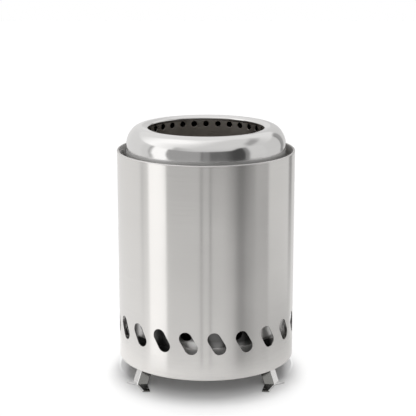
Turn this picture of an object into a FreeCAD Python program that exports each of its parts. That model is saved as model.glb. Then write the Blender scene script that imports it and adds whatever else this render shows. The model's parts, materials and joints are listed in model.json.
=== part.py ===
"""Tabletop fire pit: a slotted steel sleeve on four legs with a lift-out double-walled stove.

Millimetres, +Z up, front towards -Y, origin on the table under the centre of the pit.
"""
import FreeCAD, Part
import math
import os
import re

import Sketcher

# Driving dimensions
SIZES = {
    # Sleeve: rolled sheet with a folded top rim and slanted slots
    "shell_radius": 65.0,
    "shell_height": 155.5,
    "shell_gauge": 0.8,
    "hem_depth": 4.6,
    "slot_width": 9.5,
    "slot_spread": 8.0,
    "slot_tilt": 30.0,
    "slot_rise": 27.3,
    "slot_count": 20,
    "first_slot_turn": 6.9,
    # Base plate with an upturned rim inside the sleeve
    "base_rise": 5.0,
    "base_gauge": 0.8,
    "base_rim_height": 8.0,
    "base_bend": 2.0,
    # Legs: V-folded strips with foot flanges
    "leg_height": 9.5,
    "leg_gauge": 0.8,
    "foot_reach": 5.2,
    "foot_bearing": 44.5,
    "leg_turn": 30.0,
    "leg_slope_share": 0.68,
    "wing_width": 7.4,
    "wing_angle": 55.0,
    "ridge_bend": 1.1,
    "toe_length": 13.2,
    "toe_skew": 3.3,
    "toe_relief": 0.5,
    "heel_length": 4.2,
    "heel_relief": 0.8,
    "toe_hole_radius": 0.9,
    "toe_hole_share": 0.6,
    "tab_reach": 16.0,
    # Rivets through leg tabs, base plate and brackets
    "rivet_radius": 1.2,
    "rivet_head_radius": 2.2,
    "rivet_head_height": 1.1,
    "rivet_edge": 2.6,
    # Brackets that carry the stove inside the sleeve
    "bracket_count": 4,
    "bracket_gauge": 0.8,
    "bracket_width": 12.0,
    "bracket_foot": 10.5,
    "bracket_riser": 9.2,
    "bracket_ledge": 3.4,
    "bracket_finger": 5.0,
    # Heat shield on spacers
    "shield_margin": 6.8,
    "shield_gauge": 0.6,
    "shield_rim": 2.2,
    "shield_lift": 3.6,
    "shield_bolt_inset": 11.0,
    "screw_count": 3,
    "screw_radius": 1.5,
    "screw_end": 0.8,
    "screw_head_radius": 2.8,
    "screw_head_height": 1.6,
    "spacer_radius": 3.0,
    "nut_across": 5.5,
    "nut_height": 2.2,
    # Stove: double wall with a rounded shoulder
    "air_gap": 5.9,
    "jacket_gauge": 0.8,
    "shoulder_rise": 3.5,
    "shoulder_low_radius": 16.2,
    "shoulder_high_radius": 8.0,
    "shoulder_join_angle": 45.0,
    "shoulder_width": 15.9,
    "crown_drop": 0.7,
    "mouth_lip": 2.8,
    "mouth_bend": 1.4,
    "intake_radius": 4.5,
    "intake_rise": 16.2,
    "intake_count": 10,
    "first_intake_turn": -14.0,
    "chamber_gauge": 0.8,
    "chamber_flange": 4.5,
    "chamber_bend": 1.8,
    "upper_hole_radius": 2.2,
    "upper_hole_drop": 5.4,
    "upper_hole_count": 30,
    "lower_hole_radius": 2.8,
    "lower_hole_rise": 18.0,
    "lower_hole_count": 18,
    "cap_gauge": 0.8,
    "cap_rim_height": 6.0,
    "cap_bend": 1.6,
    # Grate and its clips
    "clip_count": 4,
    "clip_gauge": 0.8,
    "clip_width": 8.0,
    "clip_ledge": 4.2,
    "clip_leg": 7.0,
    "grate_rise": 36.0,
    "grate_clearance": 1.9,
    "grate_gauge": 1.0,
    "grate_rim": 3.2,
    "grate_hole_radius": 2.2,
    "grate_border": 8.6,
    "grate_rings": 4,
    # Ash pan
    "pan_clearance": 2.6,
    "pan_gauge": 0.6,
    "pan_height": 12.0,
    "pan_bend": 2.6,
    "pan_lip": 1.2,
    # Fits
    "seat_clearance": 0.1,
    "lift_clearance": 0.3,
    "overrun": 2.0,
}

# Levels and radii that follow from the driving dimensions
PLACES = {
    "shell_inner": "shell_radius - shell_gauge",
    "hem_inner": "shell_inner - shell_gauge",
    "shell_top": "leg_height + shell_height",
    "base_under": "leg_height + base_rise",
    "base_top": "base_under + base_gauge",
    "base_radius": "shell_inner - seat_clearance",
    "base_rim_top": "base_under + base_rim_height",
    "foot_across": "(shell_radius + foot_reach) * cos(foot_bearing)",
    "foot_along": "(shell_radius + foot_reach) * sin(foot_bearing)",
    "leg_lean": "base_under * leg_slope_share",
    "wing_back": "wing_width * cos(wing_angle)",
    "wing_side": "wing_width * sin(wing_angle)",
    "wing_skin": "leg_gauge / sin(wing_angle)",
    "bend_back": "ridge_bend / tan(wing_angle) * cos(wing_angle)",
    "bend_side": "ridge_bend / tan(wing_angle) * sin(wing_angle)",
    "crease_back": "(ridge_bend - leg_gauge) / tan(wing_angle) * cos(wing_angle)",
    "crease_side": "(ridge_bend - leg_gauge) / tan(wing_angle) * sin(wing_angle)",
    "tab_under": "base_under - leg_gauge",
    "tab_end": "leg_lean + tab_reach",
    "leg_rivet_in": "tab_end - rivet_edge",
    "leg_rivet_out": "wing_side - rivet_edge + seat_clearance",
    "near_rivet_across": "foot_across - leg_rivet_in * sin(leg_turn) - leg_rivet_out * cos(leg_turn)",
    "near_rivet_along": "foot_along - leg_rivet_in * cos(leg_turn) + leg_rivet_out * sin(leg_turn)",
    "far_rivet_across": "foot_across - leg_rivet_in * sin(leg_turn) + leg_rivet_out * cos(leg_turn)",
    "far_rivet_along": "foot_along - leg_rivet_in * cos(leg_turn) - leg_rivet_out * sin(leg_turn)",
    "jacket_radius": "shell_inner - air_gap",
    "ledge_top": "base_top + bracket_riser",
    "ledge_under": "ledge_top - bracket_gauge",
    "cap_radius": "jacket_radius + seat_clearance + cap_gauge",
    "finger_inner": "cap_radius + lift_clearance",
    "finger_outer": "finger_inner + bracket_gauge",
    "riser_inner": "finger_inner - bracket_ledge - bracket_gauge",
    "riser_outer": "riser_inner + bracket_gauge",
    "bracket_inner": "riser_inner - bracket_foot",
    "bracket_rivet_in": "bracket_inner + rivet_edge",
    "bracket_rivet_out": "bracket_width / 2 - rivet_edge + seat_clearance",
    "shield_radius": "bracket_inner - shield_margin",
    "shield_bolt_circle": "shield_radius - shield_bolt_inset",
    "shield_under": "base_top + shield_lift",
    "shield_top": "shield_under + shield_gauge",
    "stove_under": "ledge_top + lift_clearance",
    "jacket_inner": "jacket_radius - jacket_gauge",
    "shoulder_start": "shell_top + shoulder_rise",
    "shoulder_low_centre": "jacket_radius - shoulder_low_radius",
    "shoulder_step": "(shoulder_low_radius - shoulder_high_radius) * cos(shoulder_join_angle)",
    "shoulder_high_centre": "shoulder_low_centre + shoulder_step",
    "shoulder_join_across": "shoulder_low_centre + shoulder_low_radius * cos(shoulder_join_angle)",
    "shoulder_join_up": "shoulder_start + shoulder_low_radius * sin(shoulder_join_angle)",
    "shoulder_skin": "jacket_gauge * cos(shoulder_join_angle)",
    "crown_top": "shoulder_start + shoulder_step + shoulder_high_radius",
    "mouth_top": "crown_top - crown_drop",
    "mouth_radius": "jacket_radius - shoulder_width",
    "mouth_outer": "mouth_radius + jacket_gauge",
    "mouth_bottom": "mouth_top - mouth_lip",
    "chamber_inner": "mouth_outer + seat_clearance",
    "chamber_outer": "chamber_inner + chamber_gauge",
    "chamber_top": "mouth_top - mouth_bend - seat_clearance",
    "cap_top": "stove_under + cap_gauge",
    "jacket_under": "stove_under + cap_bend + seat_clearance",
    "chamber_under": "cap_top + seat_clearance",
    "clip_top": "stove_under + grate_rise",
    "clip_under": "clip_top - clip_gauge",
    "clip_inner": "chamber_inner - clip_ledge",
    "clip_outer": "sqrt(chamber_inner ^ 2 - (clip_width / 2) ^ 2) - seat_clearance",
    "grate_radius": "chamber_inner - grate_clearance",
    "grate_ring_step": "(grate_radius - grate_border) / grate_rings",
    "grate_under": "clip_top + lift_clearance",
    "grate_top": "grate_under + grate_gauge",
    "pan_radius": "clip_inner - pan_clearance",
    "pan_under": "cap_top + lift_clearance",
    "pan_top": "pan_under + pan_height",
}

FULL_TURN = 360.0
QUARTER_TURN = 90.0

doc = FreeCAD.newDocument("tabletop_fire_pit")
sizes = doc.addObject("Spreadsheet::Sheet", "Sizes")
places = doc.addObject("Spreadsheet::Sheet", "Places")
sub_parts = []


def tied(text):
    """An expression whose named sizes and places point at their sheets."""
    def owner(match):
        word = match.group(0)
        if word in SIZES:
            return "Sizes." + word
        if word in PLACES:
            return "Places." + word
        return word
    return re.sub(r"[a-z][a-z_]*", owner, text)


def fill_sheets():
    """One named cell for each driving dimension and one for each place."""
    for row, (name, value) in enumerate(SIZES.items(), start=1):
        cell = "B%d" % row
        sizes.set("A%d" % row, name)
        sizes.set(cell, str(value))
        sizes.setAlias(cell, name)
    doc.recompute()
    for row, (name, text) in enumerate(PLACES.items(), start=1):
        cell = "B%d" % row
        places.set("A%d" % row, name)
        places.setAlias(cell, name)
        places.set(cell, "=" + tied(text))
    doc.recompute()


def value(text):
    """The number that a size, a place or a sum of them has now."""
    return float(sizes.evalExpression(tied(text)))


def new_body(name):
    body = doc.addObject("PartDesign::Body", name)
    body.Label = name
    sub_parts.append(body)
    return body


def origin_item(body, role):
    return next(item for item in body.Origin.OriginFeatures if item.Role == role)


def new_sketch(body, role, level="0"):
    """A sketch on an origin plane of the body, lifted off it by a named level."""
    sketch = body.newObject("Sketcher::SketchObject", "Outline")
    sketch.AttachmentSupport = [(origin_item(body, role), "")]
    sketch.MapMode = "FlatFace"
    sketch.setExpression("AttachmentOffset.Base.z", tied(level))
    return sketch


def bind(sketch, kind, first, text):
    """A dimension of the sketch that follows the named sizes in the text."""
    number = sketch.addConstraint(Sketcher.Constraint(kind, *first, value(text)))
    sketch.setExpression("Constraints[%d]" % number, tied(text))


def pin(sketch, geometry, point, across, up):
    bind(sketch, "DistanceX", (-1, 1, geometry, point), across)
    bind(sketch, "DistanceY", (-1, 1, geometry, point), up)


def arc_between(start, end, radius, turn):
    """The short arc from start to end; turn is 1 for anticlockwise and -1 for clockwise."""
    chord = end - start
    rise = math.sqrt(max(0.0, radius * radius - chord.Length * chord.Length / 4))
    side = FreeCAD.Vector(-chord.y, chord.x, 0).normalize() * turn
    middle = (start + end) / 2
    centre = middle + side * rise
    crown = centre + (middle - centre).normalize() * radius if rise else middle - side * radius
    return Part.Arc(start, crown, end)


def closed_outline(sketch, corners):
    """Closed outline through the corners: (across, up) or (across, up, arc radius, turn).

    An arc radius and its turn shape the stretch that leaves the corner.
    """
    points = [FreeCAD.Vector(value(corner[0]), value(corner[1]), 0) for corner in corners]
    ends = []
    for index, corner in enumerate(corners):
        start = points[index]
        end = points[(index + 1) % len(points)]
        if len(corner) == 2:
            edge = sketch.addGeometry(Part.LineSegment(start, end))
            ends.append((edge, 1, 2))
            continue
        edge = sketch.addGeometry(arc_between(start, end, value(corner[2]), corner[3]))
        ends.append((edge, 1, 2) if corner[3] > 0 else (edge, 2, 1))
    for index, (edge, first, _) in enumerate(ends):
        before, _, last = ends[index - 1]
        sketch.addConstraint(Sketcher.Constraint("Coincident", before, last, edge, first))
        pin(sketch, edge, first, corners[index][0], corners[index][1])
        if len(corners[index]) > 2:
            bind(sketch, "Radius", (edge,), corners[index][2])


def circles(sketch, centres, radius):
    for across, up in centres:
        centre = FreeCAD.Vector(value(across), value(up), 0)
        ring = sketch.addGeometry(Part.Circle(centre, FreeCAD.Vector(0, 0, 1), value(radius)))
        pin(sketch, ring, 3, across, up)
        bind(sketch, "Radius", (ring,), radius)


def slot(sketch, low, high, radius):
    """A round-ended slot between two centres."""
    foot = FreeCAD.Vector(value(low[0]), value(low[1]), 0)
    head = FreeCAD.Vector(value(high[0]), value(high[1]), 0)
    reach = value(radius)
    along = (head - foot).normalize()
    side = FreeCAD.Vector(-along.y, along.x, 0) * reach
    foot_arc = sketch.addGeometry(Part.Arc(foot + side, foot - along * reach, foot - side))
    head_arc = sketch.addGeometry(Part.Arc(head - side, head + along * reach, head + side))
    right = sketch.addGeometry(Part.LineSegment(foot - side, head - side))
    left = sketch.addGeometry(Part.LineSegment(head + side, foot + side))
    for edge, point, arc, arc_point in ((right, 1, foot_arc, 2), (right, 2, head_arc, 1),
                                        (left, 1, head_arc, 2), (left, 2, foot_arc, 1)):
        sketch.addConstraint(Sketcher.Constraint("Tangent", edge, point, arc, arc_point))
    pin(sketch, foot_arc, 3, *low)
    pin(sketch, head_arc, 3, *high)
    bind(sketch, "Radius", (foot_arc,), radius)
    sketch.addConstraint(Sketcher.Constraint("Equal", foot_arc, head_arc))


def turned(name, corners):
    """A body of revolution about the vertical axis."""
    body = new_body(name)
    sketch = new_sketch(body, "XZ_Plane")
    closed_outline(sketch, corners)
    spin = body.newObject("PartDesign::Revolution", "Turned")
    spin.Profile = sketch
    spin.ReferenceAxis = (sketch, ["V_Axis"])
    spin.Angle = FULL_TURN
    doc.recompute()
    return body


def pad(body, sketch, depth, both_ways=False):
    block = body.newObject("PartDesign::Pad", "Plate")
    block.Profile = sketch
    block.setExpression("Length", tied(depth))
    block.SideType = "Symmetric" if both_ways else "One side"
    doc.recompute()
    return block


def ring_of(body, feature, count):
    """Repeats a feature round the vertical axis."""
    ring = body.newObject("PartDesign::PolarPattern", "Ring")
    ring.Originals = [feature]
    ring.Axis = (origin_item(body, "Z_Axis"), [""])
    ring.Angle = FULL_TURN
    ring.setExpression("Occurrences", tied(count))
    body.Tip = ring
    doc.recompute()


def cut(body, sketch, depth, count=None, forward=False):
    """Cuts the sketch into the body and makes sure that material went."""
    before = body.Shape.Volume
    pocket = body.newObject("PartDesign::Pocket", "Cut")
    pocket.Profile = sketch
    pocket.setExpression("Length", tied(depth))
    pocket.Reversed = forward
    doc.recompute()
    if count:
        ring_of(body, pocket, count)
    if body.Shape.Volume >= before:
        raise ValueError("a cut in %s removed nothing" % body.Label)


def wall_holes(body, rise, radius, count, reach):
    """A ring of round holes through an upright round wall."""
    sketch = new_sketch(body, "XZ_Plane")
    circles(sketch, [("0", rise)], radius)
    cut(body, sketch, reach + " + overrun", count, forward=True)


def plate_holes(body, top, gauge, centres, radius, count=None):
    """Round holes down through a level plate."""
    sketch = new_sketch(body, "XY_Plane", top + " + overrun")
    circles(sketch, centres, radius)
    cut(body, sketch, gauge + " + 2 * overrun", count)


def turn_to(body, angle):
    """Turns a body about the vertical axis by a named angle."""
    body.Placement = FreeCAD.Placement(FreeCAD.Vector(), FreeCAD.Rotation(FreeCAD.Vector(0, 0, 1), 0))
    body.setExpression("Placement.Rotation.Angle", tied(angle))


def make_outer_shell():
    body = turned("outer_shell", [
        ("shell_inner", "leg_height"),
        ("shell_radius", "leg_height"),
        ("shell_radius", "shell_top - shell_gauge", "shell_gauge", 1),
        ("shell_inner", "shell_top", "shell_gauge", 1),
        ("hem_inner", "shell_top - shell_gauge"),
        ("hem_inner", "shell_top - hem_depth"),
        ("shell_inner", "shell_top - hem_depth"),
    ])
    sketch = new_sketch(body, "XZ_Plane")
    lean = "slot_spread / 2 * sin(slot_tilt)"
    rise = "slot_spread / 2 * cos(slot_tilt)"
    slot(sketch,
         (lean, "leg_height + slot_rise - " + rise),
         ("-" + lean, "leg_height + slot_rise + " + rise),
         "slot_width / 2")
    cut(body, sketch, "shell_radius + overrun", "slot_count", forward=True)
    turn_to(body, "first_slot_turn")


def dish_outline(radius, under, gauge, rim_top, bend):
    """A round plate with an upturned rim and one bend."""
    return [
        ("0", under),
        ("%s - %s" % (radius, bend), under, bend, 1),
        (radius, "%s + %s" % (under, bend)),
        (radius, rim_top),
        ("%s - %s" % (radius, gauge), rim_top),
        ("%s - %s" % (radius, gauge), "%s + %s" % (under, bend), "%s - %s" % (bend, gauge), -1),
        ("%s - %s" % (radius, bend), "%s + %s" % (under, gauge)),
        ("0", "%s + %s" % (under, gauge)),
    ]


def leg_rivet_centres():
    """Rivet places in all four quarters, mirrored like the legs."""
    centres = []
    for across_sign in ("", "-"):
        for along_sign in ("", "-"):
            centres.append((across_sign + "near_rivet_across", along_sign + "near_rivet_along"))
            centres.append((across_sign + "far_rivet_across", along_sign + "far_rivet_along"))
    return centres


def make_base_plate():
    body = turned("base_plate", dish_outline("base_radius", "base_under", "base_gauge",
                                             "base_rim_top", "base_bend"))
    hole = "rivet_radius + seat_clearance"
    plate_holes(body, "base_top", "base_gauge", leg_rivet_centres(), hole)
    bracket_holes = [("bracket_rivet_in", "bracket_rivet_out"), ("bracket_rivet_in", "-bracket_rivet_out")]
    plate_holes(body, "base_top", "base_gauge", bracket_holes, hole, "bracket_count")
    plate_holes(body, "base_top", "base_gauge", [("shield_bolt_circle", "0")],
                "screw_radius + seat_clearance", "screw_count")


def wing_section(shift):
    """The V-fold seen from above, its ridge the given distance behind the foot point."""
    ridge = "-(%s) - " % shift
    return [
        (ridge + "bend_back", "-bend_side", "ridge_bend", 1),
        (ridge + "bend_back", "bend_side"),
        (ridge + "wing_back", "wing_side"),
        (ridge + "wing_back - wing_skin", "wing_side"),
        (ridge + "wing_skin - crease_back", "crease_side", "ridge_bend - leg_gauge", -1),
        (ridge + "wing_skin - crease_back", "-crease_side"),
        (ridge + "wing_back - wing_skin", "-wing_side"),
        (ridge + "wing_back", "-wing_side"),
    ]


def along_wing(along, out, side):
    """A place on the floor given along one wing and square out from it."""
    across = "-(%s) * cos(wing_angle) + (%s) * sin(wing_angle)" % (along, out)
    up = "((%s) * sin(wing_angle) + (%s) * cos(wing_angle)) * %d" % (along, out, side)
    return across, up


def make_leg(name, across_side, along_side):
    """One leg, drawn from the foot of its ridge and then moved to its corner of the pit."""
    toe_side = across_side * along_side
    body = new_body(name)
    lower = new_sketch(body, "XY_Plane")
    closed_outline(lower, wing_section("0"))
    upper = new_sketch(body, "XY_Plane", "base_under")
    closed_outline(upper, wing_section("leg_lean"))
    fold = body.newObject("PartDesign::AdditiveLoft", "Fold")
    fold.Profile = lower
    fold.Sections = [upper]
    fold.Ruled = True
    doc.recompute()

    toe = new_sketch(body, "XY_Plane")
    closed_outline(toe, [
        along_wing("toe_relief", "-leg_gauge / 2", toe_side),
        along_wing("toe_relief + toe_skew", "toe_length", toe_side),
        along_wing("wing_width + toe_skew / 2", "toe_length", toe_side),
        along_wing("wing_width", "-leg_gauge / 2", toe_side),
    ])
    pad(body, toe, "leg_gauge")
    heel = new_sketch(body, "XY_Plane")
    closed_outline(heel, [
        along_wing("heel_relief", "-leg_gauge / 2", -toe_side),
        along_wing("wing_width - heel_relief", "heel_length", -toe_side),
        along_wing("wing_width + heel_relief", "heel_length", -toe_side),
        along_wing("wing_width", "-leg_gauge / 2", -toe_side),
    ])
    pad(body, heel, "leg_gauge")
    tab = new_sketch(body, "XY_Plane", "tab_under")
    closed_outline(tab, [
        ("-leg_lean - wing_skin", "0"),
        ("-leg_lean - wing_back - wing_skin", "wing_side"),
        ("-tab_end", "wing_side"),
        ("-tab_end", "-wing_side"),
        ("-leg_lean - wing_back - wing_skin", "-wing_side"),
    ])
    pad(body, tab, "leg_gauge")

    plate_holes(body, "leg_gauge", "leg_gauge",
                [along_wing("wing_width", "toe_length * toe_hole_share", toe_side)], "toe_hole_radius")
    plate_holes(body, "base_under", "leg_gauge",
                [("-leg_rivet_in", "leg_rivet_out"), ("-leg_rivet_in", "-leg_rivet_out")],
                "rivet_radius + seat_clearance")
    heading = "%d * (%d - leg_turn)" % (along_side, QUARTER_TURN)
    if across_side < 0:
        heading = "2 * %d - (%s)" % (QUARTER_TURN, heading)
    turn_to(body, heading)
    body.setExpression("Placement.Base.x", tied("%d * foot_across" % across_side))
    body.setExpression("Placement.Base.y", tied("%d * foot_along" % along_side))


def make_bracket(number):
    """S-shaped bracket: a foot on the base plate, a ledge under the stove and a finger beside it."""
    body = new_body("stove_bracket_%d" % number)
    sketch = new_sketch(body, "XZ_Plane")
    closed_outline(sketch, [
        ("bracket_inner", "base_top"),
        ("riser_outer", "base_top"),
        ("riser_outer", "ledge_under"),
        ("finger_outer", "ledge_under"),
        ("finger_outer", "ledge_top + bracket_finger"),
        ("finger_inner", "ledge_top + bracket_finger"),
        ("finger_inner", "ledge_top"),
        ("riser_inner", "ledge_top"),
        ("riser_inner", "base_top + bracket_gauge"),
        ("bracket_inner", "base_top + bracket_gauge"),
    ])
    pad(body, sketch, "bracket_width", both_ways=True)
    plate_holes(body, "base_top + bracket_gauge", "bracket_gauge",
                [("bracket_rivet_in", "bracket_rivet_out"), ("bracket_rivet_in", "-bracket_rivet_out")],
                "rivet_radius + seat_clearance")
    turn_to(body, "%d * 360 / bracket_count" % number)


def rivet_outline():
    """Half section of a rivet whose grip starts at zero height."""
    grip = "leg_gauge + base_gauge"
    return [
        ("0", "-rivet_head_height"),
        ("rivet_head_radius / 2", "-rivet_head_height"),
        ("rivet_head_radius", "0"),
        ("rivet_radius", "0"),
        ("rivet_radius", grip),
        ("rivet_head_radius", grip),
        ("rivet_head_radius / 2", grip + " + rivet_head_height"),
        ("0", grip + " + rivet_head_height"),
    ]


def make_rivets():
    """All rivets are alike; legs and brackets use the same grip."""
    pattern = turned("rivet_pattern", rivet_outline())
    sub_parts.remove(pattern)
    spots = [FreeCAD.Vector(value(across), value(along), value("tab_under"))
             for across, along in leg_rivet_centres()]
    for number in range(int(value("bracket_count"))):
        turn = FreeCAD.Rotation(FreeCAD.Vector(0, 0, 1), number * FULL_TURN / value("bracket_count"))
        for side in (1, -1):
            spot = FreeCAD.Vector(value("bracket_rivet_in"), side * value("bracket_rivet_out"), 0)
            spots.append(turn.multVec(spot) + FreeCAD.Vector(0, 0, value("base_under")))
    copies = [pattern.Shape.translated(spot) for spot in spots]
    rivets = doc.addObject("Part::Feature", "rivets")
    rivets.Label = "rivets"
    rivets.Shape = Part.makeCompound(copies)
    rivets.Placement = FreeCAD.Placement()
    sub_parts.append(rivets)


def make_heat_shield():
    body = turned("heat_shield", [
        ("0", "shield_under"),
        ("shield_radius - shield_rim", "shield_under"),
        ("shield_radius - shield_gauge", "shield_top - shield_rim"),
        ("shield_radius", "shield_top - shield_rim"),
        ("shield_radius - shield_rim + shield_gauge", "shield_top"),
        ("0", "shield_top"),
    ])
    plate_holes(body, "shield_top", "shield_gauge", [("shield_bolt_circle", "0")],
                "screw_radius + seat_clearance", "screw_count")


def make_shield_fixings():
    spacers = new_body("shield_spacers")
    ring = new_sketch(spacers, "XY_Plane", "base_top")
    circles(ring, [("shield_bolt_circle", "0")], "spacer_radius")
    circles(ring, [("shield_bolt_circle", "0")], "screw_radius + seat_clearance")
    ring_of(spacers, pad(spacers, ring, "shield_lift"), "screw_count")

    screws = new_body("shield_screws")
    shank = new_sketch(screws, "XY_Plane", "base_under - nut_height - screw_end")
    circles(shank, [("shield_bolt_circle", "0")], "screw_radius")
    rod = pad(screws, shank, "shield_top - base_under + nut_height + screw_end")
    cap = new_sketch(screws, "XY_Plane", "shield_top")
    circles(cap, [("shield_bolt_circle", "0")], "screw_head_radius")
    head = pad(screws, cap, "screw_head_height")
    pattern = screws.newObject("PartDesign::PolarPattern", "Ring")
    pattern.Originals = [rod, head]
    pattern.Axis = (origin_item(screws, "Z_Axis"), [""])
    pattern.Angle = FULL_TURN
    pattern.setExpression("Occurrences", tied("screw_count"))
    screws.Tip = pattern
    doc.recompute()

    nuts = new_body("shield_nuts")
    hexagon = new_sketch(nuts, "XY_Plane", "base_under - nut_height")
    corner = "nut_across / 2 / cos(30)"
    closed_outline(hexagon, [
        ("shield_bolt_circle + %s * cos(%d)" % (corner, angle), "%s * sin(%d)" % (corner, angle))
        for angle in range(0, 360, 60)
    ])
    circles(hexagon, [("shield_bolt_circle", "0")], "screw_radius + seat_clearance")
    ring_of(nuts, pad(nuts, hexagon, "nut_height"), "screw_count")


def make_stove_jacket():
    body = turned("stove_jacket", [
        ("jacket_inner", "jacket_under"),
        ("jacket_radius", "jacket_under"),
        ("jacket_radius", "shoulder_start", "shoulder_low_radius", 1),
        ("shoulder_join_across", "shoulder_join_up", "shoulder_high_radius", 1),
        ("shoulder_high_centre", "crown_top"),
        ("mouth_radius + mouth_bend", "mouth_top", "mouth_bend", 1),
        ("mouth_radius", "mouth_top - mouth_bend"),
        ("mouth_radius", "mouth_bottom"),
        ("mouth_outer", "mouth_bottom"),
        ("mouth_outer", "mouth_top - mouth_bend", "mouth_bend - jacket_gauge", -1),
        ("mouth_radius + mouth_bend", "mouth_top - jacket_gauge"),
        ("shoulder_high_centre", "crown_top - jacket_gauge", "shoulder_high_radius - jacket_gauge", -1),
        ("shoulder_join_across - shoulder_skin", "shoulder_join_up - shoulder_skin",
         "shoulder_low_radius - jacket_gauge", -1),
        ("jacket_inner", "shoulder_start"),
    ])
    wall_holes(body, "stove_under + intake_rise", "intake_radius", "intake_count", "jacket_radius")
    turn_to(body, "first_intake_turn")


def make_stove_cap():
    turned("stove_base", dish_outline("cap_radius", "stove_under", "cap_gauge",
                                      "stove_under + cap_rim_height", "cap_bend"))


def make_burn_chamber():
    bend = "chamber_bend"
    body = turned("burn_chamber", [
        ("chamber_outer - chamber_flange", "chamber_under"),
        ("chamber_outer - " + bend, "chamber_under", bend, 1),
        ("chamber_outer", "chamber_under + " + bend),
        ("chamber_outer", "chamber_top"),
        ("chamber_inner", "chamber_top"),
        ("chamber_inner", "chamber_under + " + bend, bend + " - chamber_gauge", -1),
        ("chamber_outer - " + bend, "chamber_under + chamber_gauge"),
        ("chamber_outer - chamber_flange", "chamber_under + chamber_gauge"),
    ])
    wall_holes(body, "mouth_top - upper_hole_drop", "upper_hole_radius", "upper_hole_count", "chamber_outer")
    wall_holes(body, "stove_under + lower_hole_rise", "lower_hole_radius", "lower_hole_count", "chamber_outer")


def make_grate_clip(number):
    """L-shaped clip on the chamber wall, its ledge under the grate."""
    body = new_body("grate_clip_%d" % number)
    sketch = new_sketch(body, "XZ_Plane")
    closed_outline(sketch, [
        ("clip_outer - clip_gauge", "clip_top - clip_leg"),
        ("clip_outer", "clip_top - clip_leg"),
        ("clip_outer", "clip_top"),
        ("clip_inner", "clip_top"),
        ("clip_inner", "clip_under"),
        ("clip_outer - clip_gauge", "clip_under"),
    ])
    pad(body, sketch, "clip_width", both_ways=True)
    turn_to(body, "(%d + 1 / 2) * 360 / clip_count" % number)


def make_grate():
    rim = "grate_radius - grate_gauge"
    body = turned("grate", [
        ("0", "grate_under"),
        ("grate_radius", "grate_under"),
        ("grate_radius", "grate_top + grate_rim"),
        (rim, "grate_top + grate_rim"),
        (rim, "grate_top"),
        ("0", "grate_top"),
    ])
    plate_holes(body, "grate_top", "grate_gauge", [("0", "0")], "grate_hole_radius")
    for ring in range(1, int(value("grate_rings")) + 1):
        plate_holes(body, "grate_top", "grate_gauge", [("%d * grate_ring_step" % ring, "0")],
                    "grate_hole_radius", "6 * %d" % ring)


def make_ash_pan():
    rim = "pan_radius - pan_lip"
    turned("ash_pan", [
        ("0", "pan_under"),
        (rim + " - pan_bend", "pan_under", "pan_bend", 1),
        (rim, "pan_under + pan_bend"),
        (rim, "pan_top - pan_gauge"),
        ("pan_radius", "pan_top - pan_gauge"),
        ("pan_radius", "pan_top"),
        (rim + " - pan_gauge", "pan_top"),
        (rim + " - pan_gauge", "pan_under + pan_bend", "pan_bend - pan_gauge", -1),
        (rim + " - pan_bend", "pan_under + pan_gauge"),
        ("0", "pan_under + pan_gauge"),
    ])


def build():
    fill_sheets()
    make_outer_shell()
    make_base_plate()
    for name, across_side, along_side in (("leg_front_left", -1, -1), ("leg_front_right", 1, -1),
                                          ("leg_rear_right", 1, 1), ("leg_rear_left", -1, 1)):
        make_leg(name, across_side, along_side)
    for number in range(int(value("bracket_count"))):
        make_bracket(number)
    make_rivets()
    make_heat_shield()
    make_shield_fixings()
    make_stove_jacket()
    make_stove_cap()
    make_burn_chamber()
    for number in range(int(value("clip_count"))):
        make_grate_clip(number)
    make_grate()
    make_ash_pan()
    doc.recompute()


def write_parts():
    """Checks every object and every sub-part, then writes one file for each sub-part."""
    for item in doc.Objects:
        if "Invalid" in item.State or "Error" in item.State:
            raise ValueError("%s failed: %s" % (item.Label, item.State))
    for item in sub_parts:
        if item.Shape.isNull() or not item.Shape.isValid():
            raise ValueError("%s has no valid shape" % item.Label)
    os.makedirs("parts", exist_ok=True)
    for item in sub_parts:
        item.Shape.exportStep("parts/%s.step" % item.Label)
        box = item.Shape.BoundBox
        print("%-18s solids %2d volume %9.1f  x %7.2f %7.2f  y %7.2f %7.2f  z %7.2f %7.2f" % (
            item.Label, len(item.Shape.Solids), item.Shape.Volume,
            box.XMin, box.XMax, box.YMin, box.YMax, box.ZMin, box.ZMax))


build()
write_parts()
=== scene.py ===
import json
import math

import bpy
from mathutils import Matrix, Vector

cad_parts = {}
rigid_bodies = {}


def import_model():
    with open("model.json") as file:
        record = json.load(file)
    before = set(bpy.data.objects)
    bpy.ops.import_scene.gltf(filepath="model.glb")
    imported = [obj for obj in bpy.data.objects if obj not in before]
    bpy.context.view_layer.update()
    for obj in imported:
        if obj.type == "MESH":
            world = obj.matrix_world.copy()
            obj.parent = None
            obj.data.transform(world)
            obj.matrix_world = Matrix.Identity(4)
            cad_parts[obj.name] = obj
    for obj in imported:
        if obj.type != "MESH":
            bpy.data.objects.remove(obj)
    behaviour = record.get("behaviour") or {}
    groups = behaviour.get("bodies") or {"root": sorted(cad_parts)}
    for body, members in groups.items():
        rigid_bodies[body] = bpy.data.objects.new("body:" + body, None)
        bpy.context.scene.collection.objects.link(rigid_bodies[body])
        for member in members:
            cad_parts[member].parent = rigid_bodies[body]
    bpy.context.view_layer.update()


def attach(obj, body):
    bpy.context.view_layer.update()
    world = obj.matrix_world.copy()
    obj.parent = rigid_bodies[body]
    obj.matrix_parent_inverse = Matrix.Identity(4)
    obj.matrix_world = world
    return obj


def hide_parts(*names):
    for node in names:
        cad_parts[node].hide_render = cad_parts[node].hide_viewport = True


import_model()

MM = 0.001

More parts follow.
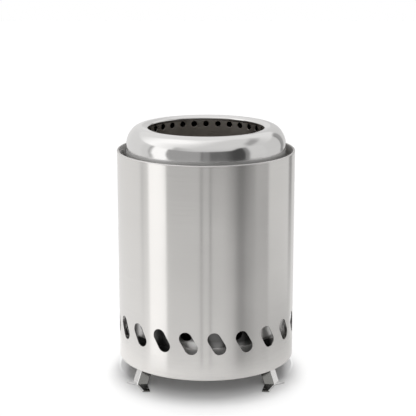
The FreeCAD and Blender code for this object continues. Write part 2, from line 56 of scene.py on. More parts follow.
# Sizes repeated from the part's source, in millimetres; turns and tilts in degrees
SHELL_RADIUS = 65.0
SHELL_BOTTOM = 9.5
SHELL_TOP = 165.0
GAUGE = 0.8
HEM_DEPTH = 4.6
SLOT_COUNT = 20
SLOT_WIDTH = 9.5
SLOT_SPREAD = 8.0
SLOT_TILT = 30.0
SLOT_LEVEL = 36.8
SLOT_TURN = 6.9
JACKET_RADIUS = 58.3
JACKET_BOTTOM = 26.5
INTAKE_COUNT = 10
INTAKE_RADIUS = 4.5
INTAKE_LEVEL = 41.0
INTAKE_TURN = -14.0
SHOULDER_START = 168.5
SHOULDER_LOW = 16.2
SHOULDER_HIGH = 8.0
SHOULDER_JOIN = 45
MOUTH_RADIUS = 42.4
MOUTH_BEND = 1.4
MOUTH_LIP = 2.8
MOUTH_TOP = 181.598
CHAMBER_INNER = 43.3
CHAMBER_UNDER = 25.7
CHAMBER_TOP = 180.098
CHAMBER_FLANGE = 4.5
CHAMBER_BEND = 1.8
UPPER_HOLE_COUNT = 30
UPPER_HOLE_RADIUS = 2.2
UPPER_HOLE_LEVEL = MOUTH_TOP - 5.4
LOWER_HOLE_COUNT = 18
LOWER_HOLE_RADIUS = 2.8
LOWER_HOLE_LEVEL = 42.8

# Sizes of the visible model alone, in millimetres
EDGE = 0.2             # rounding of a sheet's cut edge
HOLE_EASING = 0.14     # rounding round slots and holes
HEM_STEP = 0.02        # step from the folded hem's lower edge to the wall
SLOT_BAND = 11.0       # half height of the wall band with the slots
INTAKE_BAND = 10.0     # the same round the intakes and the chamber's two rings of holes
UPPER_BAND = 3.5
LOWER_BAND = 6.5
TAPER_RADIUS = 110.0   # the jacket leans in on this arc, through this many degrees
TAPER = 4.0
TAPER_DEPTH = 7.0      # how far below the shoulder the taper starts
CROWN_LEAN = 9.7       # how far past level the crown slopes down to the mouth

# Places in the scene, in metres
CREST_Z = 0.1643           # the sleeve is its rim's rounded crest above this
LIP_Z = 0.1650             # top of the sleeve, where the jacket comes into sight
RAW_TOP_Z = 0.055          # about the top of the dull zone whose colour is painted light and shade
PAINTED_STEP_Z = 0.0317      # the cap and the wall just above its rim, at 0.0308, are painted paler, a painted highlight
SLEEVE_INSIDE = 0.06435    # between the sleeve's outer and inner skin

# Camera fitted to the photograph
EYE = (0.00145, -0.9092, 0.3361)
LOOKING_DOWN = 13.35
LENS = 109.31
SENSOR = 36.0

# Heights, in degrees, at which a strip of the room has its higher and its lower brightness
HORIZON = -11.0
TABLE_EDGE = -19.0

# The room that the sleeve mirrors, by bearing in degrees from the front towards +X:
# middle, half width, softness of the edge, higher and lower brightness
ROOM_STRIPS = (
    (17.0, 70.3, 1.5, 0.54, 0.80),
    (0.0, 34.0, 14.0, 0.55, 0.78),
    (73.0, 14.5, 2.0, 0.22, 0.88),
    (46.0, 18.0, 9.0, 0.29, 0.72),
    (45.0, 6.0, 5.0, 0.15, 0.58),
    (-5.8, 1.5, 1.0, 0.28, 0.58),
    (5.7, 1.2, 1.0, 0.24, 0.54),
    (-87.0, 7.0, 2.0, 0.64, 0.96),
    (-89.7, 1.7, 1.2, 0.49, 0.92),
    (-65.3, 13.2, 0.8, 1.24, 1.20),
    (140.5, 6.0, 2.5, 0.30, 0.80),
)
# What the shoulder mirrors between the horizon and the sky, in front and then at the sides:
# middle, half width, softness of the edge, brightness
BAND_LEVEL = 0.40
BAND_STRIPS = (
    (-1.0, 6.0, 1.0, 0.28),
    (35.0, 30.0, 1.2, 0.16),
    (48.0, 15.0, 9.0, 0.07),
    (61.5, 3.5, 1.5, 0.28),
    (-5.8, 1.4, 0.8, 0.20),
)
SIDE_STRIPS = (
    (80.0, 15.0, 3.0, 0.74),
    (-91.0, 12.0, 4.0, 0.76),
    (-83.0, 2.5, 2.0, 0.50),
    (143.0, 4.5, 3.0, 0.38),
)
LEFT_PART = -50.0      # strips further left than this are slid for the shoulder

# Painted light and shade on the stove's foot and the cap's rim, pools of light and patches of shade where
# the slots look in:
# bearing and half width in degrees, heights in metres where they start and are full, brightness
SLOT_PAINTED_LIGHT = (
    (-12.0, 9.0, 0.0375, 0.0350, 0.92),
    (-33.0, 11.0, 0.0, 0.001, 0.10),
    (-51.0, 7.0, 0.0310, 0.0330, 0.85),
    (-51.0, 9.0, 0.0318, 0.0316, 0.10),
    (26.0, 12.0, 0.0322, 0.0358, 0.08),
    (49.0, 11.0, 0.0325, 0.0345, 0.97),
    (45.0, 9.0, 0.0318, 0.0316, 0.10),
    (76.0, 12.0, 0.0, 0.001, 0.90),
)
SLOT_PAINTED_SOFTNESS = 4.0

# Suns for the short shadow round the foot: name, strength, tilt in degrees; both shine from a
# little behind the pit
SUNS = (("high_sun", 1.55, -6.0), ("low_sun", 0.55, -12.0))
SUN_ANGLE = 8.0        # how wide each sun looks


def grey(level):
    """An even grey as a colour."""
    return (level, level, level, 1.0)


class Net:
    """Short ways to add nodes to one tree."""

    def __init__(self, tree):
        self.tree = tree
        tree.nodes.clear()

    def put(self, kind, inputs=None, **settings):
        node = self.tree.nodes.new("ShaderNode" + kind)
        for name, setting in settings.items():
            setattr(node, name, setting)
        for socket, entry in (inputs or {}).items():
            if isinstance(entry, bpy.types.NodeSocket):
                self.tree.links.new(entry, node.inputs[socket])
            else:
                node.inputs[socket].default_value = entry
        return node

    def calc(self, operation, *entries):
        return self.put("Math", dict(enumerate(entries)), operation=operation).outputs[0]

    def times(self, first, second):
        return self.calc("MULTIPLY", first, second)

    def ramp(self, entry, start, end, low=0.0, high=1.0, soft=True):
        """The entry between start and end turned into low to high."""
        node = self.put("MapRange", {0: entry, 1: start, 2: end, 3: low, 4: high})
        node.interpolation_type = "SMOOTHSTEP" if soft else "LINEAR"
        return node.outputs[0]

    def within(self, angle, centre, half, soft):
        """1 in the strip about the centre and 0 outside it."""
        away = self.calc("ABSOLUTE", self.calc("SUBTRACT", angle, centre))
        return self.ramp(away, half + soft, half - soft)

    def blend(self, share, first, second):
        """From the first value to the second one."""
        node = self.put("Mix", {0: share, 2: first, 3: second}, data_type="FLOAT")
        return node.outputs[0]

    def tint(self, share, first, second):
        """From the first colour to the second one."""
        node = self.put("Mix", {0: share, 6: first, 7: second}, data_type="RGBA")
        return node.outputs[2]

    def warm_grey(self, level):
        """A slightly warm grey of the given brightness."""
        parts = {0: level, 1: self.times(level, 0.992), 2: self.times(level, 0.984)}
        return self.put("CombineColor", parts).outputs[0]

    def place(self):
        """The place in the object's space, and its three parts."""
        spot = self.put("TexCoord").outputs["Object"]
        return (spot, *self.put("SeparateXYZ", {0: spot}).outputs)

    def from_axis(self, x, y):
        """How far a place is from the pit's axis."""
        squares = self.calc("ADD", self.calc("POWER", x, 2.0), self.calc("POWER", y, 2.0))
        return self.calc("POWER", squares, 0.5)

    def front_bearing(self, x, y):
        """Bearing in degrees, counted from the front towards +X."""
        return self.calc("DEGREES", self.calc("ARCTAN2", x, self.times(y, -1.0)))


def lower_room(net, height, bearing, left):
    """What the sleeve's wall and the shoulder's lower part mirror."""
    def falling(high, low):
        """A level that changes from the horizon down to the table's edge."""
        return net.ramp(height, HORIZON, TABLE_EDGE, high, low, soft=False)

    room = net.blend(net.ramp(bearing, -95.0, 150.0), falling(0.82, 0.90), falling(0.69, 0.80))
    for centre, half, soft, high, low in ROOM_STRIPS:
        around = left if centre < LEFT_PART else bearing
        room = net.blend(net.within(around, centre, half, soft), room, falling(high, low))
    above = net.ramp(height, -10.6, -6.5)
    band = BAND_LEVEL
    for centre, half, soft, level in BAND_STRIPS:
        band = net.blend(net.within(bearing, centre, half, soft), band, level)
    room = net.blend(net.times(above, net.within(left, 5.0, 58.5, 1.5)), room, band)
    for centre, half, soft, level in SIDE_STRIPS:
        around = left if centre < LEFT_PART else bearing
        room = net.blend(net.times(above, net.within(around, centre, half, soft)), room, level)
    # the lowest part is dimmer on the right
    low_right = net.times(net.within(bearing, 92.0, 50.0, 10.0), net.ramp(height, -16.8, -18.6))
    return net.blend(low_right, room, net.times(room, 0.58))


def upper_room(net, height, bearing):
    """What the upper shoulder and the crown mirror: a sky that is brightest on the left."""
    lifted = net.calc("SUBTRACT", bearing, net.ramp(height, 40.0, 80.0, 0.0, 55.0))
    sky = net.ramp(lifted, -92.0, -44.0, 1.25, 0.90, soft=False)
    sky = net.blend(net.ramp(lifted, -46.0, -8.0), sky, 0.76)
    # its lowest part is dimmer, most of all just left of the front
    low_sky = net.times(net.ramp(height, 44.0, 32.0), net.ramp(bearing, -56.0, -48.0))
    dim = net.times(low_sky, net.ramp(bearing, -52.0, -15.0, 0.45, 0.06, soft=False))
    sky = net.times(sky, net.calc("SUBTRACT", 1.0, dim))
    # a slanted grey veil on the right
    slant = net.calc("MULTIPLY_ADD", bearing, -0.2, height)
    veil = net.times(net.within(bearing, 99.0, 27.0, 8.0), net.within(slant, 25.0, 6.5, 4.0))
    sky = net.blend(veil, sky, 0.42)
    sky = net.blend(net.ramp(height, 66.0, 86.0), sky, 1.05)
    return net.blend(net.ramp(net.calc("ABSOLUTE", bearing), 94.0, 138.0), sky, 0.90)


def studio():
    """A bright room for the steel to mirror: soft boxes and grey flags at chosen bearings."""
    world = bpy.data.worlds.new("studio")
    bpy.context.scene.world = world
    world.use_nodes = True
    net = Net(world.node_tree)
    direction = net.put("TexCoord").outputs["Generated"]
    across, along, up = net.put("SeparateXYZ", {0: direction}).outputs
    bearing = net.front_bearing(across, along)
    height = net.calc("DEGREES", net.calc("ARCSINE", up))
    # the rounded shoulder sees the left part of the room a little further round
    slid = net.times(net.ramp(height, -9.0, -3.0, 0.0, 5.0), net.within(bearing, -75.0, 32.0, 8.0))
    left = net.calc("ADD", bearing, slid)
    room = lower_room(net, height, bearing, left)
    sky = upper_room(net, height, bearing)
    # the sky starts higher on the right
    edge = net.times(net.within(bearing, 63.0, 18.0, 9.0), 7.5)
    room = net.blend(net.ramp(net.calc("SUBTRACT", height, edge), 22.0, 28.0), room, sky)
    glossy = net.put("Background", {0: net.warm_grey(room), 1: 1.0})

    plain = net.put("Background", {0: grey(1.0), 1: 0.375})
    white = net.put("Background", {0: grey(1.0), 1: 1.0})
    path = net.put("LightPath").outputs
    shown = net.put("MixShader", {0: path["Is Glossy Ray"], 1: plain.outputs[0], 2: glossy.outputs[0]})
    seen = net.put("MixShader", {0: path["Is Camera Ray"], 1: shown.outputs[0], 2: white.outputs[0]})
    net.put("OutputWorld", {0: seen.outputs[0]})


def new_material(name):
    material = bpy.data.materials.new(name)
    material.use_nodes = True
    return material, Net(material.node_tree)


def floor():
    """White table that keeps the pit's shadow; mirrors see it near the pit and the room beyond."""
    material, net = new_material("table_white")
    paper = net.put("BsdfDiffuse", {0: grey(0.95)})
    _, x, y, _ = net.place()
    away = net.from_axis(x, y)
    # painted light: the table glows brighter just inside the sleeve's footprint at its sides, standing in
    # for light creeping in under them
    sides = net.ramp(net.calc("ABSOLUTE", x), 0.055, 0.0640)
    painted_creep_light = net.times(sides, net.ramp(away, 0.0665, 0.0650))
    glow = net.put("Emission", {0: grey(1.0), 1: net.calc("MULTIPLY_ADD", painted_creep_light, 0.27, 0.05)})
    lit = net.put("AddShader", {0: paper.outputs[0], 1: glow.outputs[0]})
    # painted shade: the table as the steel mirrors it is painted darker towards the right
    mirrored = net.put("BsdfDiffuse", {0: net.warm_grey(net.ramp(x, 0.01, 0.10, 0.96, 0.66))})
    clear = net.put("BsdfTransparent")
    fading = net.ramp(away, 0.085, 0.14)
    near = net.put("MixShader", {0: fading, 1: mirrored.outputs[0], 2: clear.outputs[0]})
    path = net.put("LightPath").outputs
    passed = net.calc("MAXIMUM", path["Is Glossy Ray"], path["Is Transmission Ray"])
    seen = net.put("MixShader", {0: passed, 1: lit.outputs[0], 2: near.outputs[0]})
    net.put("OutputMaterial", {0: seen.outputs[0]})
    mesh = bpy.data.meshes.new("table_top")
    reach = 3.0
    level = -0.0002
    mesh.from_pydata([(-reach, -reach, level), (reach, -reach, level),
                      (reach, reach, level), (-reach, reach, level)], [], [(0, 1, 2, 3)])
    mesh.materials.append(material)
    table = bpy.data.objects.new("table_top", mesh)
    bpy.context.scene.collection.objects.link(table)
    return table


def shade(lit_things):
    """Two soft suns that light the table and the legs alone, for the short shadow round the foot."""
    lit = bpy.data.collections.new("sun_lit")
    for thing in lit_things:
        lit.objects.link(thing)
    for name, energy, tilt in SUNS:
        sun = bpy.data.lights.new(name, "SUN")
        sun.energy = energy
        sun.angle = math.radians(SUN_ANGLE)
        lamp = bpy.data.objects.new(name, sun)
        lamp.rotation_euler = (math.radians(tilt), 0.0, 0.0)
        bpy.context.scene.collection.objects.link(lamp)
        lamp.light_linking.receiver_collection = lit


def camera():
    data = bpy.data.cameras.new("camera")
    data.sensor_width = SENSOR
    data.lens = LENS
    data.clip_start = 0.05
    data.clip_end = 20.0
    eye = bpy.data.objects.new("camera", data)
    eye.location = EYE
    eye.rotation_euler = (math.radians(90.0 - LOOKING_DOWN), 0.0, 0.0)
    bpy.context.scene.collection.objects.link(eye)
    bpy.context.scene.camera = eye


def brushing(net, spot, x, y, z, ringed):
    """Fine lines round the axis, or a fine even grain."""
    if ringed:
        per_turn = 0.9
        per_metre = 1400.0
        turn = net.calc("ARCTAN2", y, x)
        lines = net.put("CombineXYZ", {0: net.times(turn, per_turn),
                                       1: net.times(net.from_axis(x, y), per_metre),
                                       2: net.times(z, per_metre)}).outputs[0]
    else:
        lines = net.put("VectorMath", {0: spot, 1: (500.0, 500.0, 500.0)}, operation="MULTIPLY").outputs[0]
    return net.put("TexNoise", {"Vector": lines, "Scale": 1.0, "Detail": 3.0, "Roughness": 0.6}).outputs[0]


def dull_foot_painted_light(net, x, y, z, broad, tinted, rough, raw_rough):
    """Dull foot of the stove, its colour painted with light and shade: painted dark in the gap behind the
    slots, with painted pools of light and painted shade where the slots look in; its wall inside the
    sleeve is rougher than its shoulder.
    """
    raw = net.ramp(net.calc("MULTIPLY_ADD", broad, 0.03, z), RAW_TOP_Z + 0.023, RAW_TOP_Z + 0.007)
    bearing = net.front_bearing(x, y)
    # painted shade: the wall in the gap behind the slots is painted dark, paler lower down
    painted_level = net.ramp(z, 0.0365, 0.0300, 0.20, 0.55, soft=False)
    # painted highlight: the cap's rim and the wall just above it are painted paler
    painted_level = net.blend(net.ramp(z, PAINTED_STEP_Z + 0.0001, PAINTED_STEP_Z - 0.0001), painted_level, 0.88)
    # painted pools of light and painted shade where each slot looks in
    for centre, half, start, full, level in SLOT_PAINTED_LIGHT:
        painted_patch = net.times(net.within(bearing, centre, half, SLOT_PAINTED_SOFTNESS), net.ramp(z, start, full))
        painted_level = net.blend(painted_patch, painted_level, level)
    wall_rough = net.blend(net.ramp(z, LIP_Z + 0.0025, LIP_Z), rough, 0.50)
    return net.tint(raw, tinted, net.warm_grey(painted_level)), net.blend(raw, wall_rough, raw_rough)


def rough_inside_painted_shade(net, x, y, z, tinted, rough):
    """Rougher inner face of the sleeve with painted shade, darker on the right, and rim crest with painted
    light and shade, paler in front and darker at the back.
    """
    raw = net.ramp(net.from_axis(x, y), SLEEVE_INSIDE + 0.0001, SLEEVE_INSIDE - 0.0001)
    crest = net.ramp(z, CREST_Z - 0.0002, CREST_Z + 0.0002)
    # painted light and shade on the rim's crest: pale at the front, dark at the back
    painted_light_and_shade = net.tint(net.ramp(y, -0.02, 0.01), (0.80, 0.79, 0.78, 1.0), (0.42, 0.41, 0.40, 1.0))
    # painted shade: the sleeve's inner face is painted darker on the right
    painted_inside = net.tint(net.ramp(x, 0.015, 0.05), (0.88, 0.87, 0.86, 1.0), (0.55, 0.54, 0.53, 1.0))
    tinted = net.tint(crest, net.tint(raw, tinted, painted_inside), painted_light_and_shade)
    return tinted, net.blend(net.calc("MAXIMUM", raw, crest), rough, 0.50)


def brushed_steel(name, colour, roughness, grain, bump, ringed=True, anisotropy=0.75,
                  raw_rough=None, painted_inside=False):
    """Steel with fine brushing lines round the axis, or with a fine even grain."""
    material, net = new_material(name)
    spot, x, y, z = net.place()
    fine = brushing(net, spot, x, y, z, ringed)
    cloudy = {"Vector": spot, "Scale": 22.0, "Detail": 3.0, "Roughness": 0.5}
    broad = net.put("TexNoise", cloudy).outputs[0]
    streak = net.ramp(fine, 0.25, 0.75, soft=False)
    cloud = net.ramp(broad, 0.3, 0.7)
    dark = tuple(part * (1.0 - grain) for part in colour) + (1.0,)
    steel = net.tint(streak, dark, colour + (1.0,))
    clouded = tuple(part * 0.93 for part in colour) + (1.0,)
    tinted = net.tint(net.times(cloud, 0.35), steel, clouded)
    unevenness = net.calc("ADD", net.times(cloud, 0.04), roughness - 0.05)
    rough = net.calc("ADD", net.times(streak, 0.06), unevenness)
    if raw_rough is not None:
        tinted, rough = dull_foot_painted_light(net, x, y, z, broad, tinted, rough, raw_rough)
    if painted_inside:
        tinted, rough = rough_inside_painted_shade(net, x, y, z, tinted, rough)
    relief = net.put("Bump", {"Strength": bump, "Distance": 0.00004, "Height": fine})
    shader = net.put("BsdfPrincipled", {"Base Color": tinted, "Metallic": 1.0, "Roughness": rough,
                                        "Normal": relief.outputs[0]})
    if ringed:
        shader.inputs["Anisotropic"].default_value = anisotropy
        shader.inputs["Anisotropic Rotation"].default_value = 0.25
        tangent = net.put("Tangent", direction_type="RADIAL", axis="Z")
        net.tree.links.new(tangent.outputs[0], shader.inputs["Tangent"])
    net.put("OutputMaterial", {0: shader.outputs[0]})
    return material


def leg_finish(name):
    """Leg steel: bright outer wing, painted brighter on the right legs, painted highlight on the fold,
    painted shade on the inner wing, toes painted dark as a reflection but for a painted highlight on their
    outer edge, heels painted bright.
    """
    material, net = new_material(name)
    spot, x, y, _ = net.place()
    facing = net.put("SeparateXYZ", {0: net.put("NewGeometry").outputs["Normal"]}).outputs
    outward = net.times(facing[0], net.calc("SIGN", x))
    lines = net.put("VectorMath", {0: spot, 1: (900.0, 900.0, 30.0)}, operation="MULTIPLY").outputs[0]
    fine = net.put("TexNoise", {"Vector": lines, "Scale": 1.0, "Detail": 3.0, "Roughness": 0.6}).outputs[0]
    aside = net.calc("ABSOLUTE", x)
    ahead = net.calc("ABSOLUTE", y)
    inner_wing = net.ramp(outward, 0.30, 0.10)
    flat = net.ramp(facing[2], 0.90, 0.97)
    # how far inside the toe plate's outer edge, and which plates are the heels, for the painted highlight
    # on both
    from_side = net.times(net.calc("SUBTRACT", 0.0498, aside), 0.937)
    from_front = net.times(net.calc("SUBTRACT", 0.0494, ahead), 0.35)
    inside = net.calc("ADD", from_side, from_front)
    painted_light_and_shade = net.calc("MAXIMUM", net.ramp(inside, 0.0009, 0.0006), net.ramp(aside, 0.0515, 0.0525))
    steel = net.tint(fine, (0.68, 0.675, 0.67, 1.0), (0.80, 0.795, 0.79, 1.0))
    # painted light: the right legs are painted brighter
    steel = net.tint(net.ramp(x, -0.01, 0.01), steel, (0.97, 0.965, 0.96, 1.0))
    # painted highlight along the fold between the wings
    fold = net.times(net.ramp(outward, 0.10, 0.25), net.ramp(outward, 0.65, 0.45))
    steel = net.tint(fold, steel, grey(0.97))
    # painted shade on the inner wing
    steel = net.tint(inner_wing, steel, (0.30, 0.30, 0.29, 1.0))
    # painted reflection: flat plates are painted nearly black, with painted highlight edges and heels
    # nearly white
    steel = net.tint(flat, steel, net.tint(painted_light_and_shade, grey(0.05), grey(0.97)))
    painted_bright_plate = net.times(flat, painted_light_and_shade)
    rough = net.blend(net.calc("MAXIMUM", fold, painted_bright_plate), net.ramp(fine, 0.2, 0.8, 0.22, 0.30), 0.50)
    metal = net.calc("SUBTRACT", 1.0, net.times(painted_bright_plate, 0.7))
    shader = net.put("BsdfPrincipled", {"Base Color": steel, "Metallic": metal, "Roughness": rough})
    net.put("OutputMaterial", {0: shader.outputs[0]})
    return material


class Skin:
    """Corners and faces of a sheet, each corner with the surface's true normal."""

    def __init__(self):
        self.corners = []
        self.normals = []
        self.faces = []
        self.known = {}

    def corner(self, place, normal):
        key = tuple(round(part, 4) for part in (*place, *normal))
        if key not in self.known:
            self.known[key] = len(self.corners)
            self.corners.append(Vector(place) * MM)
            self.normals.append(Vector(normal).normalized())
        return self.known[key]

    def face(self, loop):
        """Adds the face so that it looks the way its corners' normals point."""
        spots = list(dict.fromkeys(loop))
        if len(spots) < 3:
            return
        first, second, last = (self.corners[spots[step]] for step in (0, 1, -1))
        facing = (second - first).cross(last - first)
        if facing.dot(sum((self.normals[spot] for spot in spots), Vector())) < 0:
            spots.reverse()
        self.faces.append(spots)

    def bridge(self, first, second):
        """Faces between two closed loops with as many corners."""
        for index in range(len(first)):
            after = (index + 1) % len(first)
            self.face([first[index], first[after], second[after], second[index]])

    def piece(self, name, material, body, node):
        mesh = bpy.data.meshes.new(name)
        mesh.from_pydata(self.corners, [], self.faces)
        mesh.materials.append(material)
        mesh.shade_smooth()
        mesh.normals_split_custom_set_from_vertices(self.normals)
        item = bpy.data.objects.new(name, mesh)
        bpy.context.scene.collection.objects.link(item)
        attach(item, body)
        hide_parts(node)


def arc(across, up, radius, start, end, steps=6, inside=False):
    """Profile points (radius, height, normal angle) along an arc; angles in degrees from outward."""
    points = []
    for step in range(steps + 1):
        angle = math.radians(start + (end - start) * step / steps)
        facing = math.degrees(angle) + (180.0 if inside else 0.0)
        points.append((across + radius * math.cos(angle), up + radius * math.sin(angle), facing))
    return points


def ring(skin, point, bearings):
    """The corners of one profile point at each bearing, counted from the front towards +X."""
    across, up, facing = point
    out = math.cos(math.radians(facing))
    lift = math.sin(math.radians(facing))
    return [skin.corner((across * math.sin(b), -across * math.cos(b), up),
                        (out * math.sin(b), -out * math.cos(b), lift)) for b in bearings]


def revolve(skin, profile, bearings, gap=None):
    """Turns the profile about the axis and leaves out the step numbered gap."""
    loops = [ring(skin, point, bearings) for point in profile]
    for index in range(len(loops) - 1):
        if index != gap:
            skin.bridge(loops[index], loops[index + 1])


def gap_after(profile, across, up):
    """The number of the profile's step that starts at the given place."""
    return next(index for index, point in enumerate(profile) if point[:2] == (across, up))


def slot_edge(direction):
    """Where a ray from the slot's middle meets its outline, and the outline's normal there."""
    tilt = math.radians(SLOT_TILT)
    half = SLOT_SPREAD / 2
    radius = SLOT_WIDTH / 2
    axis = Vector((-math.sin(tilt), math.cos(tilt)))
    along = direction.dot(axis)
    side = direction - axis * along
    reach = radius / max(side.length, 1e-6)
    if abs(reach * along) > half:
        reach = half * abs(along) + math.sqrt((half * along) ** 2 + radius ** 2 - half ** 2)
        middle = axis * math.copysign(half, along)
        return direction * reach, (direction * reach - middle).normalized()
    return direction * reach, side.normalized()


def hole_edge(radius):
    """The same for a round hole."""
    def edge(direction):
        return direction * radius, direction
    return edge


def border_of(steps):
    """Places round a square from its lower right corner, each side in the given steps."""
    turns = ((1, -1), (1, 1), (-1, 1), (-1, -1), (1, -1))
    return [(start[0] + (end[0] - start[0]) * step / steps, start[1] + (end[1] - start[1]) * step / steps)
            for start, end in zip(turns, turns[1:]) for step in range(steps)]


def perforate(skin, outer, inner, level, half_height, count, turn, edge, steps):
    """A band of wall with a ring of holes, from its outer skin through to its inner skin."""
    row_count = 6
    bevel_angles = [math.radians(angle) for angle in (30, 60, 90)]
    half_turn = math.pi / count
    width = half_turn * outer
    for number in range(count):
        centre = math.radians(turn) + number * 2 * half_turn
        turned = Vector((math.cos(centre), math.sin(centre)))

        def put(bearing, up, radius, normal):
            spot = (radius * math.sin(bearing + centre), -radius * math.cos(bearing + centre), level + up)
            return skin.corner(spot, normal)

        loops = []
        for radius, facing in ((outer, 1), (inner, -1)):
            rows = [[] for _ in range(row_count)]
            bevel = [[] for _ in bevel_angles]
            for across, up in border_of(steps):
                direction = Vector((across * width, up * half_height)).normalized()
                spot, outward = edge(direction)
                start = spot + outward * HOLE_EASING
                start_bearing = math.asin(start.x / radius)
                for row, corners in enumerate(rows):
                    share = (row / (row_count - 1)) ** 0.8
                    bearing = across * half_turn * (1 - share) + start_bearing * share
                    height = up * half_height * (1 - share) + start.y * share
                    out = (facing * math.sin(centre + bearing), -facing * math.cos(centre + bearing), 0.0)
                    corners.append(put(bearing, height, radius, out))
                for angle, corners in zip(bevel_angles, bevel):
                    place = spot + outward * HOLE_EASING * (1 - math.sin(angle))
                    depth = radius - facing * HOLE_EASING * (1 - math.cos(angle))
                    bearing = math.asin(place.x / depth)
                    out = Vector((math.sin(centre + bearing), -math.cos(centre + bearing), 0.0)) * facing
                    inward = Vector((turned.x * outward.x, turned.y * outward.x, outward.y)) * -1
                    normal = out * math.cos(angle) + inward * math.sin(angle)
                    corners.append(put(bearing, place.y, depth, normal))
            stack = rows + bevel
            for first, second in zip(stack, stack[1:]):
                skin.bridge(first, second)
            loops.append(stack[-1])
        skin.bridge(loops[0], loops[1])


def bearings_of(count, turn, steps):
    """Bearings of a wall's corners: each hole's share of the turn in the given steps."""
    half_turn = math.pi / count
    return [math.radians(turn) + half_turn * (2 * number - 1 + 2 * step / steps)
            for number in range(count) for step in range(steps)]


def make_sleeve(material):
    skin = Skin()
    inner = SHELL_RADIUS - GAUGE
    hem_inner = SHELL_RADIUS - 2 * GAUGE
    hem_bottom = SHELL_TOP - HEM_DEPTH
    steps = 12
    profile = (
        [(SHELL_RADIUS, SLOT_LEVEL + SLOT_BAND, 0.0), (SHELL_RADIUS, SHELL_TOP - GAUGE, 0.0)]
        + arc(inner, SHELL_TOP - GAUGE, GAUGE, 0, 180, 16)
        + [(hem_inner, hem_bottom + EDGE, 180.0)]
        + arc(hem_inner + EDGE, hem_bottom + EDGE, EDGE, 180, 270, 4)
        + [(inner - HEM_STEP, hem_bottom, 270.0), (inner, hem_bottom - HEM_STEP, 180.0),
           (inner, SLOT_LEVEL + SLOT_BAND, 180.0), (inner, SLOT_LEVEL - SLOT_BAND, 180.0),
           (inner, SHELL_BOTTOM + EDGE, 180.0)]
        + arc(inner + EDGE, SHELL_BOTTOM + EDGE, EDGE, 180, 270, 4)
        + arc(SHELL_RADIUS - EDGE, SHELL_BOTTOM + EDGE, EDGE, 270, 360, 4)
        + [(SHELL_RADIUS, SLOT_LEVEL - SLOT_BAND, 0.0)]
    )
    gap = gap_after(profile, inner, SLOT_LEVEL + SLOT_BAND)
    revolve(skin, profile, bearings_of(SLOT_COUNT, SLOT_TURN, steps), gap)
    perforate(skin, SHELL_RADIUS, inner, SLOT_LEVEL, SLOT_BAND, SLOT_COUNT, SLOT_TURN, slot_edge, steps)
    skin.piece("sleeve_skin", material, "sleeve", "outer_shell")


def make_jacket(material):
    skin = Skin()
    inner = JACKET_RADIUS - GAUGE
    steps = 24
    low_centre = JACKET_RADIUS - SHOULDER_LOW
    step = (SHOULDER_LOW - SHOULDER_HIGH) * math.cos(math.radians(SHOULDER_JOIN))
    high_across = low_centre + step
    high_up = SHOULDER_START + step
    crown_end = 90 + CROWN_LEAN
    mouth_across = MOUTH_RADIUS + MOUTH_BEND
    mouth_up = MOUTH_TOP - MOUTH_BEND
    lip_up = MOUTH_TOP - MOUTH_LIP + EDGE
    profile = (
        [(JACKET_RADIUS, INTAKE_LEVEL + INTAKE_BAND, 0.0)]
        + arc(JACKET_RADIUS - TAPER_RADIUS, SHOULDER_START - TAPER_DEPTH, TAPER_RADIUS, 0, TAPER, 4)
        + arc(low_centre, SHOULDER_START, SHOULDER_LOW, TAPER + 3.0, SHOULDER_JOIN, 20)
        + arc(high_across, high_up, SHOULDER_HIGH, SHOULDER_JOIN, crown_end, 24)[1:]
        + arc(mouth_across, mouth_up, MOUTH_BEND, crown_end, 180, 12)
        + [(MOUTH_RADIUS, lip_up, 180.0)]
        + arc(MOUTH_RADIUS + EDGE, lip_up, EDGE, 180, 270, 4)
        + arc(MOUTH_RADIUS + GAUGE - EDGE, lip_up, EDGE, 270, 360, 4)
        + arc(mouth_across, mouth_up, MOUTH_BEND - GAUGE, 180, crown_end, 6, inside=True)
        + arc(high_across, high_up, SHOULDER_HIGH - GAUGE, crown_end, SHOULDER_JOIN, 12, inside=True)
        + arc(low_centre, SHOULDER_START, SHOULDER_LOW - GAUGE, SHOULDER_JOIN, 0, 12, inside=True)
        + [(inner, INTAKE_LEVEL + INTAKE_BAND, 180.0), (inner, INTAKE_LEVEL - INTAKE_BAND, 180.0),
           (inner, JACKET_BOTTOM + EDGE, 180.0)]
        + arc(inner + EDGE, JACKET_BOTTOM + EDGE, EDGE, 180, 270, 4)
        + arc(JACKET_RADIUS - EDGE, JACKET_BOTTOM + EDGE, EDGE, 270, 360, 4)
        + [(JACKET_RADIUS, INTAKE_LEVEL - INTAKE_BAND, 0.0)]
    )
    gap = gap_after(profile, inner, INTAKE_LEVEL + INTAKE_BAND)
    revolve(skin, profile, bearings_of(INTAKE_COUNT, INTAKE_TURN, steps), gap)
    perforate(skin, JACKET_RADIUS, inner, INTAKE_LEVEL, INTAKE_BAND, INTAKE_COUNT, INTAKE_TURN,
              hole_edge(INTAKE_RADIUS), steps)
    skin.piece("jacket_skin", material, "stove", "stove_jacket")


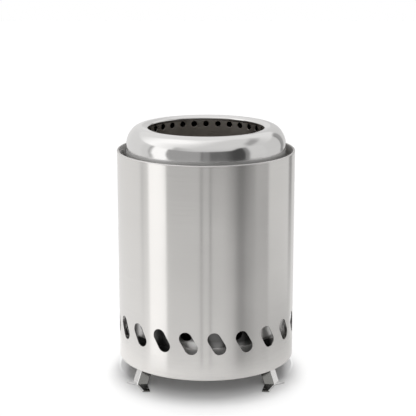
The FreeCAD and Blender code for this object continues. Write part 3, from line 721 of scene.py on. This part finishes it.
def make_chamber(material):
    skin = Skin()
    inner = CHAMBER_INNER
    outer = CHAMBER_INNER + GAUGE
    upper_steps = 12
    lower_steps = 20
    many = bearings_of(UPPER_HOLE_COUNT, 0.0, upper_steps)
    few = bearings_of(LOWER_HOLE_COUNT, 0.0, lower_steps)
    upper_from = UPPER_HOLE_LEVEL - UPPER_BAND
    upper_to = UPPER_HOLE_LEVEL + UPPER_BAND
    lower_from = LOWER_HOLE_LEVEL - LOWER_BAND
    lower_to = LOWER_HOLE_LEVEL + LOWER_BAND
    top = (
        [(outer, upper_to, 0.0), (outer, CHAMBER_TOP - EDGE, 0.0)]
        + arc(outer - EDGE, CHAMBER_TOP - EDGE, EDGE, 0, 90, 3)
        + arc(inner + EDGE, CHAMBER_TOP - EDGE, EDGE, 90, 180, 3)
        + [(inner, upper_to, 180.0)]
    )
    revolve(skin, top, many)
    perforate(skin, outer, inner, UPPER_HOLE_LEVEL, UPPER_BAND, UPPER_HOLE_COUNT, 0.0,
              hole_edge(UPPER_HOLE_RADIUS), upper_steps)
    for across, facing in ((outer, 0.0), (inner, 180.0)):
        revolve(skin, [(across, lower_to, facing), (across, upper_from, facing)], many)
    perforate(skin, outer, inner, LOWER_HOLE_LEVEL, LOWER_BAND, LOWER_HOLE_COUNT, 0.0,
              hole_edge(LOWER_HOLE_RADIUS), lower_steps)
    flange = outer - CHAMBER_FLANGE
    bend_across = outer - CHAMBER_BEND
    bend_up = CHAMBER_UNDER + CHAMBER_BEND
    bottom = (
        [(inner, lower_from, 180.0)]
        + arc(bend_across, bend_up, CHAMBER_BEND - GAUGE, 360, 270, 5, inside=True)
        + [(flange + EDGE, CHAMBER_UNDER + GAUGE, 90.0)]
        + arc(flange + GAUGE / 2, CHAMBER_UNDER + GAUGE / 2, GAUGE / 2, 90, 270, 6)
        + arc(bend_across, bend_up, CHAMBER_BEND, 270, 360, 8)
        + [(outer, lower_from, 0.0)]
    )
    revolve(skin, bottom, few)
    skin.piece("chamber_skin", material, "stove", "burn_chamber")


def dress(names, material):
    """Gives carried-over nodes their finish, and says which objects they are."""
    dressed = []
    for name in names:
        for holder in bpy.data.objects:
            if holder.type == "MESH" and holder.name.split(".")[0] == name:
                for place in holder.material_slots:
                    place.material = material
                if not holder.material_slots:
                    holder.data.materials.append(material)
                dressed.append(holder)
    return dressed


camera()
studio()
table_top = floor()
# name, colour, roughness, depth of the brushing's tone, strength of its relief
sleeve_steel = brushed_steel("sleeve_steel", (0.80, 0.788, 0.772), 0.18, 0.06, 0.25, painted_inside=True)
jacket_steel = brushed_steel("jacket_steel", (0.80, 0.797, 0.792), 0.11, 0.03, 0.10, anisotropy=0.2,
                             raw_rough=0.42)
chamber_steel = brushed_steel("chamber_steel", (0.60, 0.57, 0.53), 0.30, 0.10, 0.25, anisotropy=0.4)
leg_steel = leg_finish("leg_steel")
hidden_steel = brushed_steel("hidden_steel", (0.62, 0.61, 0.60), 0.34, 0.06, 0.2, ringed=False)
cap_steel = brushed_steel("cap_steel", (0.93, 0.92, 0.91), 0.60, 0.04, 0.1, ringed=False, raw_rough=0.60)
fastener_steel = brushed_steel("fastener_steel", (0.70, 0.69, 0.67), 0.25, 0.04, 0.1, ringed=False)
make_sleeve(sleeve_steel)
make_jacket(jacket_steel)
make_chamber(chamber_steel)
legs = dress(["leg_front_left", "leg_front_right", "leg_rear_left", "leg_rear_right"], leg_steel)
shade([table_top] + legs)
dress(["base_plate", "heat_shield", "ash_pan", "grate"], hidden_steel)
dress(["stove_base"], cap_steel)
dress(["stove_bracket_%d" % number for number in range(4)], hidden_steel)
dress(["grate_clip_%d" % number for number in range(4)], chamber_steel)
dress(["rivets", "shield_spacers", "shield_screws", "shield_nuts"], fastener_steel)

bpy.context.scene.view_settings.view_transform = "Standard"
